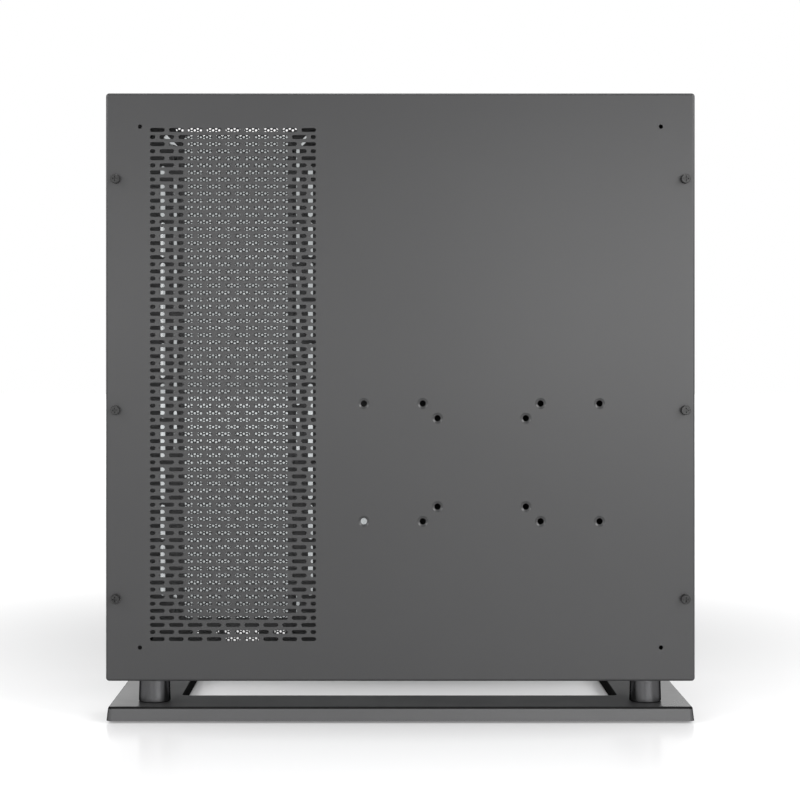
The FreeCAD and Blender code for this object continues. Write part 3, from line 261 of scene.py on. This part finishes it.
def base_paint(name, level):
    """Black paint on the base: satin in front and behind, with the rounded edges and cheeks a dull
    near-black, which is painted shade.

    The top is darker, which is painted shade, and duller, but polished at its two ends.
    """
    paint = new_finish(name)
    where = paint.place()
    facing = paint.node("ShaderNodeNewGeometry", output="Normal")
    rise = paint.axis(facing, "Z")
    upward = paint.stretch(rise, FACES_UP)
    rounded = paint.stretch(rise, FACES_ROUND) * (1 - upward)
    cheek = paint.stretch(abs(paint.axis(facing, "X")), FACES_ASIDE)
    ends = paint.stretch(abs(paint.axis(where, "X")), BASE_ENDS)
    peel = paint.noise(where, BASE_PEEL)
    smears = paint.noise(where, SMEARS)
    side_colour = paint.shades(smears, level, SIDE_SHADES, BLUE_CAST)
    # The top's colour is painted shade, darker than the front and back
    top_painted_shade_colour = paint.shades(smears, level, TOP_PAINTED_SHADE, BLUE_CAST)
    side_rough = SIDE_ROUGH + SMEAR_ROUGH * paint.stretch(smears, SMEAR_SPAN)
    coat = paint.surface({
        "Base Color": paint.mix(upward, side_colour, top_painted_shade_colour),
        "Roughness": side_rough + upward * (TOP_ROUGH - END_POLISH * ends),
        "Normal": paint.bump(peel, BASE_DEPTH, BASE_STRENGTH)})
    # Painted shade: the rounded edges and cheeks take a near-black diffuse in place of the satin paint
    painted_edge_shade = paint.node("ShaderNodeBsdfDiffuse", {}, {"Color": paint.mix(peel, EDGE_PAINTED_SHADE_DARK, EDGE_PAINTED_SHADE_PALE)})
    return paint.close(paint.node("ShaderNodeMixShader", {}, {0: rounded.most(cheek), 1: coat, 2: painted_edge_shade}))


DRAWN_LINES = (900, 2.0, 0.5)
POST_SHADES = (0.88, 1.12)
POST_TINT = grey(0.2)
POST_SWING = 0.08
POST_STRENGTH = 0.3


def satin_black(name, level, rough):
    """Black anodised posts: a soft sheen along the middle, dark at the edges, with faint drawn lines."""
    metal = new_finish(name)
    where = metal.place()
    lines = metal.noise(where, DRAWN_LINES)
    smears = metal.noise(where, SMEARS)
    return metal.close(metal.surface({
        "Base Color": metal.shades(smears, level, POST_SHADES, BLUE_CAST),
        "Metallic": 1.0,
        "Specular Tint": POST_TINT,
        "Roughness": around(rough, POST_SWING, lines),
        "Normal": metal.bump(lines, LINE_DEPTH, POST_STRENGTH)}))


TOOL_LINES = (2600, 2.0, 0.5)
RUBBED_PATCHES = (220, 3.0, 0.6)
RUBBED_SPAN = (0.45, 0.8)
RUBBED_SHADES = (0.85, 1.5)
BLACKENED_METAL = 0.25
RUBBED_METAL = 0.25
TOOL_SWING = 0.1


def turned_black(name, level, rough):
    """Blackened steel turned on a lathe, with fine tool lines and rubbed patches."""
    steel = new_finish(name)
    where = steel.place()
    rubbed = steel.stretch(steel.noise(where, RUBBED_PATCHES), RUBBED_SPAN)
    lines = steel.noise(where, TOOL_LINES)
    return steel.close(steel.surface({
        "Base Color": steel.shades(rubbed, level, RUBBED_SHADES),
        "Metallic": BLACKENED_METAL + RUBBED_METAL * rubbed,
        "Roughness": around(rough, TOOL_SWING, lines),
        "Normal": steel.bump(lines, LINE_DEPTH, LINE_STRENGTH)}))


PLATING_LINES = (1900, 2.0, 0.6)
DULL_PATCHES = (60, 3.0, 0.6)
DULL_SPAN = (0.3, 0.75)
DULL_SHADE = 0.8
DULL_ROUGH = 0.08
LINE_ROUGH = 0.06


def bare_metal(name, colour, rough):
    """Plated or turned metal with fine lines of roughness."""
    metal = new_finish(name)
    where = metal.place()
    lines = metal.noise(where, PLATING_LINES)
    dull = metal.stretch(metal.noise(where, DULL_PATCHES), DULL_SPAN)
    darker = [DULL_SHADE * part for part in colour]
    return metal.close(metal.surface({
        "Base Color": metal.mix(dull, (*colour, 1), (*darker, 1)),
        "Metallic": 1.0,
        "Roughness": rough + DULL_ROUGH * dull + LINE_ROUGH * lines,
        "Normal": metal.bump(lines, LINE_DEPTH, LINE_STRENGTH)}))


MOULD_GRAIN = (2200, 2.0, 0.5)
MOULD_CLOUDS = (40, 2.0, 0.5)
MOULD_SHADES = (0.85, 1.2)
MOULD_SWING = 0.1
MOULD_SHEEN = 0.4
MOULD_STRENGTH = 0.6


def moulded(name, level, rough, grain_depth):
    """Moulded plastic or rubber with a spark-eroded grain."""
    plastic = new_finish(name)
    where = plastic.place()
    grain = plastic.noise(where, MOULD_GRAIN)
    clouds = plastic.noise(where, MOULD_CLOUDS)
    return plastic.close(plastic.surface({
        "Base Color": plastic.shades(clouds, level, MOULD_SHADES),
        "Roughness": around(rough, MOULD_SWING, grain),
        "Specular IOR Level": MOULD_SHEEN,
        "Normal": plastic.bump(grain, grain_depth * MM, MOULD_STRENGTH)}))


WEAVE_SCALE = 420
BOARD_SPOTS = (350, 2.0, 0.5)
SPOT_SPAN = (0.45, 0.62)
BOARD_GREEN = (0.006, 0.022, 0.014, 1)
SPOT_GREEN = (0.012, 0.045, 0.026, 1)
BOARD_ROUGH = 0.3
WEAVE_ROUGH = 0.15
WEAVE_DEPTH = 0.02 * MM
WEAVE_STRENGTH = 0.4


def laminate(name):
    """Lacquered circuit board with the weave of the glass cloth just showing."""
    board = new_finish(name)
    where = board.place()
    weave = board.node(
        "ShaderNodeTexWave", {"wave_type": "BANDS", "bands_direction": "DIAGONAL"},
        {"Vector": where, "Scale": WEAVE_SCALE, "Distortion": 1.0, "Detail": 1.0}, "Fac")
    spots = board.stretch(board.noise(where, BOARD_SPOTS), SPOT_SPAN)
    return board.close(board.surface({
        "Base Color": board.mix(spots, BOARD_GREEN, SPOT_GREEN),
        "Roughness": BOARD_ROUGH + WEAVE_ROUGH * weave,
        "Normal": board.bump(weave, WEAVE_DEPTH, WEAVE_STRENGTH)}))


GLASS_FILM = (14, 3.0, 0.6)
FILM_SPAN = (0.4, 0.8)
FILM_ROUGH = 0.015
GLASS_INDEX = 1.5
GLASS_CAST = (0.46, 0.48, 0.485, 1)
GLASS_SHADOW = (0.68, 0.69, 0.695, 1)


def toughened_glass(name):
    """Clear glass with a grey cast. Shadow and bounce light pass straight through it."""
    glass = new_finish(name)
    film = glass.stretch(glass.noise(glass.place(), GLASS_FILM), FILM_SPAN)
    pane = glass.surface({
        "Base Color": GLASS_CAST,
        "Roughness": FILM_ROUGH * film,
        "IOR": GLASS_INDEX,
        "Transmission Weight": 1.0})
    through = glass.node("ShaderNodeBsdfTransparent", {}, {"Color": GLASS_SHADOW})
    shadow = glass.node("ShaderNodeLightPath", output="Is Shadow Ray")
    bounce = glass.node("ShaderNodeLightPath", output="Is Diffuse Ray")
    return glass.close(glass.node("ShaderNodeMixShader", {}, {0: shadow.most(bounce), 1: pane, 2: through}))


FINISHES = {
    "cover": powder_coat("cover_powder_coat", level=0.03, sheen=0.46, rough=0.34),
    # Painted light: the shell, fan screen and cable strip take the cover's powder paint at a lighter level,
    # making up for the shade behind the cover
    "shell": powder_coat("shell_powder_coat_painted_light", level=0.08),
    "blank": powder_coat("blank_powder_coat", level=0.04),
    # The base's paint holds painted shade on its top, rounded edges and cheeks
    "base": base_paint("base_satin_paint_and_painted_shade", level=0.06),
    "post": satin_black("post_satin_black", level=0.075, rough=0.24),
    "screw": turned_black("black_screw_steel", level=0.012, rough=0.28),
    "cap": turned_black("black_cap_metal", level=0.025, rough=0.24),
    "brass": bare_metal("turned_brass", colour=(0.70, 0.50, 0.22), rough=0.24),
    "glass": toughened_glass("toughened_glass"),
    "rubber": moulded("black_rubber", level=0.018, rough=0.72, grain_depth=0.03),
    "bezel": moulded("bezel_plastic", level=0.02, rough=0.5, grain_depth=0.02),
    "button": moulded("button_plastic", level=0.032, rough=0.38, grain_depth=0.01),
    "port": bare_metal("plated_port_steel", colour=(0.62, 0.62, 0.64), rough=0.26),
    "board": laminate("circuit_board"),
}

for node, part in NODES.items():
    part.data.materials.clear()
    part.data.materials.append(FINISHES[FINISH_OF[node]])


# Sheet metal with holes, in millimetres

ROUND_STEPS = 8
BOLT_STEPS = 12
SHARP_DEGREES = 35
FLAT = 0.999
WELD = 1e-5

# The kind of filling to ask for: all triangles within the outermost edges
WITHIN = 1


def arc(x, z, radius, start, turn, steps):
    angles = [start + turn * step / steps for step in range(steps + 1)]
    return [(x + radius * math.cos(angle), z + radius * math.sin(angle)) for angle in angles]


class Hole:
    """A round-ended hole in a sheet. Its wall is a list of growth and depth, from the outer face inward."""

    def __init__(self, x, z, length, width, wall, steps=ROUND_STEPS):
        self.x = x
        self.z = z
        self.length = length
        self.width = width
        self.wall = wall
        self.steps = steps

    def outline(self, growth):
        radius = self.width / 2 + growth
        reach = (self.length - self.width) / 2
        if reach == 0:
            return arc(self.x, self.z, radius, 0, FULL_TURN, 2 * self.steps)[:-1]
        right = arc(self.x + reach, self.z, radius, -QUARTER_TURN, HALF_TURN, self.steps)
        left = arc(self.x - reach, self.z, radius, QUARTER_TURN, HALF_TURN, self.steps)
        return right + left


class Sheet:
    """A mesh of a pierced sheet, with y as depth."""

    def __init__(self):
        self.mesh = bmesh.new()

    def ring(self, points, y):
        return [self.mesh.verts.new((x * MM, y * MM, z * MM)) for x, z in points]

    def band(self, first, second, gaps=()):
        """Faces between two rings, with none after the points that gaps names."""
        count = len(first)
        for here in range(count):
            after = (here + 1) % count
            if here not in gaps:
                self.mesh.faces.new((first[here], first[after], second[after], second[here]))

    def rings(self, rings, gaps=()):
        for first, second in zip(rings, rings[1:]):
            self.band(first, second, gaps)

    def notch(self, rings, start):
        """Closes the two cheeks and the root of a gap that rings leaves."""
        for here in (start, start + 1):
            self.mesh.faces.new([ring[here] for ring in rings])
        outer, inner = rings[0], rings[-1]
        self.mesh.faces.new((outer[start], outer[start + 1], inner[start + 1], inner[start]))

    def face(self, loops):
        """Fills the plane between an outline, which comes first, and the holes in it.

        A triangle that has all its corners on the rim of one hole lies in that hole and is left out.
        """
        corners, owners, edges = [], [], []
        for owner, loop in enumerate(loops):
            first, count = len(corners), len(loop)
            edges += [(first + here, first + (here + 1) % count) for here in range(count)]
            corners += loop
            owners += [owner] * count
        places = [Vector((corner.co.x, corner.co.z)) / MM for corner in corners]
        _, _, triangles, sources, _, _ = delaunay_2d_cdt(places, edges, [], WITHIN, WELD)
        for triangle in triangles:
            ends = [sources[place][0] for place in triangle]
            loops_met = {owners[end] for end in ends}
            if loops_met == {0} or len(loops_met) > 1:
                self.mesh.faces.new([corners[end] for end in ends])

    def pierce(self, holes, outer_y):
        """Makes the wall of each hole and gives back its two rims."""
        outer, inner = [], []
        for hole in holes:
            rings = [self.ring(hole.outline(growth), outer_y + depth) for growth, depth in hole.wall]
            self.rings(rings)
            outer.append(rings[0])
            inner.append(rings[-1])
        return outer, inner

    def piece(self, name, finish):
        bmesh.ops.recalc_face_normals(self.mesh, faces=self.mesh.faces[:])
        data = bpy.data.meshes.new(name)
        self.mesh.to_mesh(data)
        self.mesh.free()
        data.set_sharp_from_angle(angle=math.radians(SHARP_DEGREES))
        for face in data.polygons:
            face.use_smooth = abs(face.normal.y) < FLAT
        data.materials.append(finish)
        made = bpy.data.objects.new(name, data)
        bpy.context.scene.collection.objects.link(made)
        return made


def dress(piece, node):
    """The piece stands for a node: it goes on the node's body, and the node is hidden."""
    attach(piece, NODES[node]["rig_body"])
    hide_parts(node)


# Rear cover: a folded pan with the staggered vent, the wall-arm holes and the screw holes

STEEL = 1.2
BEND = 2.0
CORNER = 2.8
BEND_STEPS = 6
CORNER_STEPS = 6
SLIT = 1.0
SLIT_AWAY = 3.8
VENT_X = -142.05
VENT_Z = 287.7
VENT_COLUMNS = 9
VENT_ROWS = 73
SLOT_PITCH = 16.05
ROW_PITCH = 6.0
SLOT_LENGTH = 12.5
SLOT_WIDTH = 3.2
STUB_LENGTH = 4.6
THUMB_X = 241.5
THUMB_Z = (106.0, 266.0, 462.0)
THUMB_HOLE = 4.4
LIP = 0.22
LIP_MIDDLE = 0.3 * LIP
SINK = 1.9
SINK_DEPTH = 0.7
SINK_EDGE = 0.1

PLAIN_WALL = [(LIP, 0), (LIP_MIDDLE, LIP_MIDDLE), (0, LIP), (0, STEEL)]
SUNK_WALL = [(SINK + SINK_EDGE, 0), (SINK, SINK_EDGE), (0, SINK_DEPTH), (0, STEEL)]


def vent_slots():
    """Staggered rows of slots, with a stub at each end of every other row."""
    half = (VENT_COLUMNS - 1) * SLOT_PITCH / 2 + SLOT_LENGTH / 2
    for row in range(VENT_ROWS):
        z = VENT_Z + (row - (VENT_ROWS - 1) / 2) * ROW_PITCH
        stagger = row % 2
        count = VENT_COLUMNS - stagger
        for column in range(count):
            x = VENT_X + (column - (count - 1) / 2) * SLOT_PITCH
            yield Hole(x, z, SLOT_LENGTH, SLOT_WIDTH, PLAIN_WALL)
        if stagger:
            for side in (-1, 1):
                x = VENT_X + side * (half - STUB_LENGTH / 2)
                yield Hole(x, z, STUB_LENGTH, SLOT_WIDTH, PLAIN_WALL)


def bolt_holes(mount, wall):
    """The four holes of a rectangular pattern in the record."""
    size = mount["dims"]
    centre_x, _, centre_z = (place / MM for place in mount["pos_m"])
    across = 2 * size["hole_r_mm"]
    for side in (-1, 1):
        for rise in (-1, 1):
            x = centre_x + side * size["spacing_x_mm"] / 2
            z = centre_z + rise * size["spacing_y_mm"] / 2
            yield Hole(x, z, across, across, wall, BOLT_STEPS)


def rear_cover():
    """The folded pan, with its flat face, bends, slit flanges and all the holes."""
    low, high = (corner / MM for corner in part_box("rear_cover"))
    holes = list(vent_slots())
    for name in ("wall_75", "wall_100", "wall_200"):
        holes += bolt_holes(MOUNTS[name], SUNK_WALL)
    holes += bolt_holes(MOUNTS["corner_holes"], PLAIN_WALL)
    for side in (-1, 1):
        for z in THUMB_Z:
            holes.append(Hole(side * THUMB_X, z, THUMB_HOLE, THUMB_HOLE, PLAIN_WALL, BOLT_STEPS))

    sheet = Sheet()
    slit_edges = [low.z + SLIT_AWAY - SLIT / 2, low.z + SLIT_AWAY + SLIT / 2]
    slit_edges += [low.z + high.z - z for z in slit_edges[::-1]]
    corner_points = CORNER_STEPS + 1
    right_side = corner_points
    left_side = 3 * corner_points + len(slit_edges)
    slit_starts = [right_side, right_side + 2, left_side, left_side + 2]

    def outline(inset, y):
        """The pan's outline, anticlockwise from the lower right corner.

        The slits' edges are marked on the right and left sides.
        """
        radius = CORNER - inset
        right, left = high.x - CORNER, low.x + CORNER
        top, bottom = high.z - CORNER, low.z + CORNER
        points = arc(right, bottom, radius, -QUARTER_TURN, QUARTER_TURN, CORNER_STEPS)
        points += [(high.x - inset, z) for z in slit_edges]
        points += arc(right, top, radius, 0, QUARTER_TURN, CORNER_STEPS)
        points += arc(left, top, radius, QUARTER_TURN, QUARTER_TURN, CORNER_STEPS)
        points += [(low.x + inset, z) for z in slit_edges[::-1]]
        points += arc(left, bottom, radius, HALF_TURN, QUARTER_TURN, CORNER_STEPS)
        return sheet.ring(points, y)

    def fold(radius, centre):
        """Rings round the bend, from the flat face to the flange."""
        for step in range(BEND_STEPS + 1):
            angle = QUARTER_TURN * step / BEND_STEPS
            yield outline(centre - radius * math.sin(angle), low.y + centre - radius * math.cos(angle))

    outer = list(fold(BEND, BEND))
    inner = list(fold(BEND - STEEL, BEND))
    lip_out = outline(0, high.y)
    lip_in = outline(STEEL, high.y)
    flange = [outer[-1], lip_out, lip_in, inner[-1]]
    sheet.rings(outer)
    sheet.rings(flange, slit_starts)
    sheet.rings(inner)
    for start in slit_starts:
        sheet.notch(flange, start)
    outer_rims, inner_rims = sheet.pierce(holes, low.y)
    sheet.face([outer[0]] + outer_rims)
    sheet.face([inner[0]] + inner_rims)
    dress(sheet.piece("vented_rear_cover", FINISHES["cover"]), "rear_cover")


# Fan screen and cable strip: fine round holes in staggered rows

MESH_PITCH = 5.4
MESH_ROW = 1.5
MESH_HOLE = 2.2
MESH_TOP = 4.75
MESH_ASIDE = 1.0
MESH_EDGE = 4.2
MESH_STEPS = 4
SCREEN_NECK = 99.5
SCREEN_HEAD = 13.0
STRIP_GAP = 0.3
STRIP_FOOT = 54.0


def mesh_holes(boxes, middle, top, wall):
    """Staggered rows of holes, kept clear of the edges of the boxes that make up a sheet."""
    columns = int(max(right for _, right, _, _ in boxes) / MESH_PITCH) + 1
    lowest = min(bottom for _, _, bottom, _ in boxes)
    for row in range(int((top - lowest) / MESH_ROW)):
        z = top - MESH_TOP - row * MESH_ROW
        for column in range(-columns, columns + 1):
            x = MESH_ASIDE + (column + row % 2 / 2) * MESH_PITCH
            for left, right, bottom, upper in boxes:
                across = left + MESH_EDGE <= x <= right - MESH_EDGE
                if across and bottom + MESH_EDGE <= z <= upper - MESH_EDGE:
                    yield Hole(middle + x, z, MESH_HOLE, MESH_HOLE, wall, MESH_STEPS)
                    break


def mesh_sheet(name, outline, holes, rear_y, front_y):
    sheet = Sheet()
    rear = sheet.ring(outline, rear_y)
    front = sheet.ring(outline, front_y)
    sheet.band(rear, front)
    rear_rims, front_rims = sheet.pierce(holes, rear_y)
    sheet.face([rear] + rear_rims)
    sheet.face([front] + front_rims)
    return sheet.piece(name, FINISHES["shell"])


def fan_screen():
    """The screen, which is wider at its head, and the strip across the cable opening below it."""
    low, high = (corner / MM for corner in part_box("fan_screen"))
    middle = (low.x + high.x) / 2
    neck = high.z - SCREEN_HEAD
    half, half_head = SCREEN_NECK / 2, (high.x - low.x) / 2
    wall = [(0, 0), (0, high.y - low.y)]
    right = [(half, low.z), (half, neck), (half_head, neck), (half_head, high.z)]
    outline = [(middle + x, z) for x, z in right] + [(middle - x, z) for x, z in right[::-1]]
    boxes = [(-half, half, low.z, high.z), (-half_head, half_head, neck, high.z)]
    holes = mesh_holes(boxes, middle, high.z, wall)
    dress(mesh_sheet("perforated_fan_screen", outline, holes, low.y, high.y), "fan_screen")

    top = low.z - STRIP_GAP
    corners = [(-half, STRIP_FOOT), (half, STRIP_FOOT), (half, top), (-half, top)]
    outline = [(middle + x, z) for x, z in corners]
    holes = mesh_holes([(-half, half, STRIP_FOOT, top)], middle, high.z, wall)
    strip = mesh_sheet("perforated_cable_strip", outline, holes, low.y, high.y)
    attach(strip, NODES["fan_screen"]["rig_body"])


rear_cover()
fan_screen()


# Studio: pale floor, white sky and soft lamps, in metres and watts

SKY_LEVEL = 0.3
FLOOR_REACH = 12.0
FLOOR_CORNERS = ((-1, -1), (1, -1), (1, 1), (-1, 1))
FLOOR_COLOUR = (0.88, 0.88, 0.885, 1)
FLOOR_ROUGH = 0.22
FLOOR_SHEEN = 0.15
SHADE_MIDDLE = (0, 0.35, 0)
# Painted light: the floor's glow, which grows with distance from the shade's middle
NEAR_PAINTED_GLOW = 0.3
NEAR_SPAN = (0.28, 0.6)
FAR_PAINTED_GLOW = 0.45
FAR_SPAN = (0.8, 5.0)
LAMP_AIM = Vector((0, 0, 0.28))

# Each lamp's name, place, width, height and power
LAMPS = (
    ("left_box", (-1.65, -1.45, 1.2), 0.8, 0.9, 17),
    ("right_box", (1.5, -1.6, 1.2), 0.8, 0.9, 24),
    ("right_strip", (0.80, -2.04, 0.42), 1.5, 0.42, 11),
    ("left_strip", (-0.68, -2.04, 0.42), 1.0, 0.34, 3.8),
    ("overhead_box", (0.0, 0.2, 2.6), 0.9, 0.9, 20),
)


def shown_share(finish):
    """1 for what is seen, also in gloss or through glass, and 0 for light that falls on things."""
    seen, glossy, through = (
        finish.node("ShaderNodeLightPath", output=kind)
        for kind in ("Is Camera Ray", "Is Glossy Ray", "Is Transmission Ray"))
    return finish.node("ShaderNodeClamp", {}, {"Value": seen + glossy + through})


def white_sky():
    sky = Finish(bpy.data.worlds.new("white_studio"))
    strength = SKY_LEVEL + (1 - SKY_LEVEL) * shown_share(sky)
    light = sky.node("ShaderNodeBackground", {}, {"Color": WHITE, "Strength": strength})
    bpy.context.scene.world = sky.close(light, "ShaderNodeOutputWorld")


def pale_floor():
    """The floor keeps the case's shadow near its middle, and further out glows with painted light up to
    white, for camera, gloss and transmission rays.
    """
    data = bpy.data.meshes.new("studio_floor")
    corners = [(x * FLOOR_REACH, y * FLOOR_REACH, 0) for x, y in FLOOR_CORNERS]
    data.from_pydata(corners, [], [range(len(corners))])
    finish = new_finish("pale_floor")
    where = finish.place()
    offset = finish.node("ShaderNodeVectorMath", {"operation": "SUBTRACT"}, {0: where, 1: SHADE_MIDDLE})
    apart = finish.node("ShaderNodeVectorMath", {"operation": "LENGTH"}, {0: offset}, "Value")
    # Painted light: an emission that lifts the floor toward white away from the case
    painted_glow = NEAR_PAINTED_GLOW * finish.stretch(apart, NEAR_SPAN) + FAR_PAINTED_GLOW * finish.stretch(apart, FAR_SPAN)
    data.materials.append(finish.close(finish.surface({
        "Base Color": FLOOR_COLOUR,
        "Roughness": FLOOR_ROUGH,
        "Specular IOR Level": FLOOR_SHEEN,
        "Emission Color": finish.mix(shown_share(finish) * painted_glow, BLACK, WHITE),
        "Emission Strength": 1.0})))
    floor = bpy.data.objects.new("studio_floor", data)
    bpy.context.scene.collection.objects.link(floor)


def softbox(name, place, width, height, power):
    data = bpy.data.lights.new(name, "AREA")
    data.shape = "RECTANGLE"
    data.size = width
    data.size_y = height
    data.energy = power
    lamp = bpy.data.objects.new(name, data)
    lamp.location = place
    lamp.rotation_euler = (LAMP_AIM - Vector(place)).to_track_quat("-Z", "Y").to_euler()
    lamp.visible_transmission = False
    bpy.context.scene.collection.objects.link(lamp)


white_sky()
pale_floor()
for lamp_values in LAMPS:
    softbox(*lamp_values)


# Camera: square to the cover, with the picture shifted as in the photograph

LENS = 90.7
SENSOR = 36.0
PICTURE = 800
AXIS_PIXEL = (378, 348)
CAMERA_X = -0.019
CAMERA_Z = 0.3187
CAMERA_AWAY = 1.710


def camera():
    data = bpy.data.cameras.new("photo_camera")
    data.lens = LENS
    data.sensor_width = SENSOR
    data.shift_x = (PICTURE / 2 - AXIS_PIXEL[0]) / PICTURE
    data.shift_y = (AXIS_PIXEL[1] - PICTURE / 2) / PICTURE
    seen_from = bpy.data.objects.new("photo_camera", data)
    seen_from.location = (CAMERA_X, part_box("rear_cover")[0].y - CAMERA_AWAY, CAMERA_Z)
    seen_from.rotation_euler = (QUARTER_TURN, 0, 0)
    bpy.context.scene.collection.objects.link(seen_from)
    bpy.context.scene.camera = seen_from


camera()
bpy.context.scene.view_settings.view_transform = "Standard"
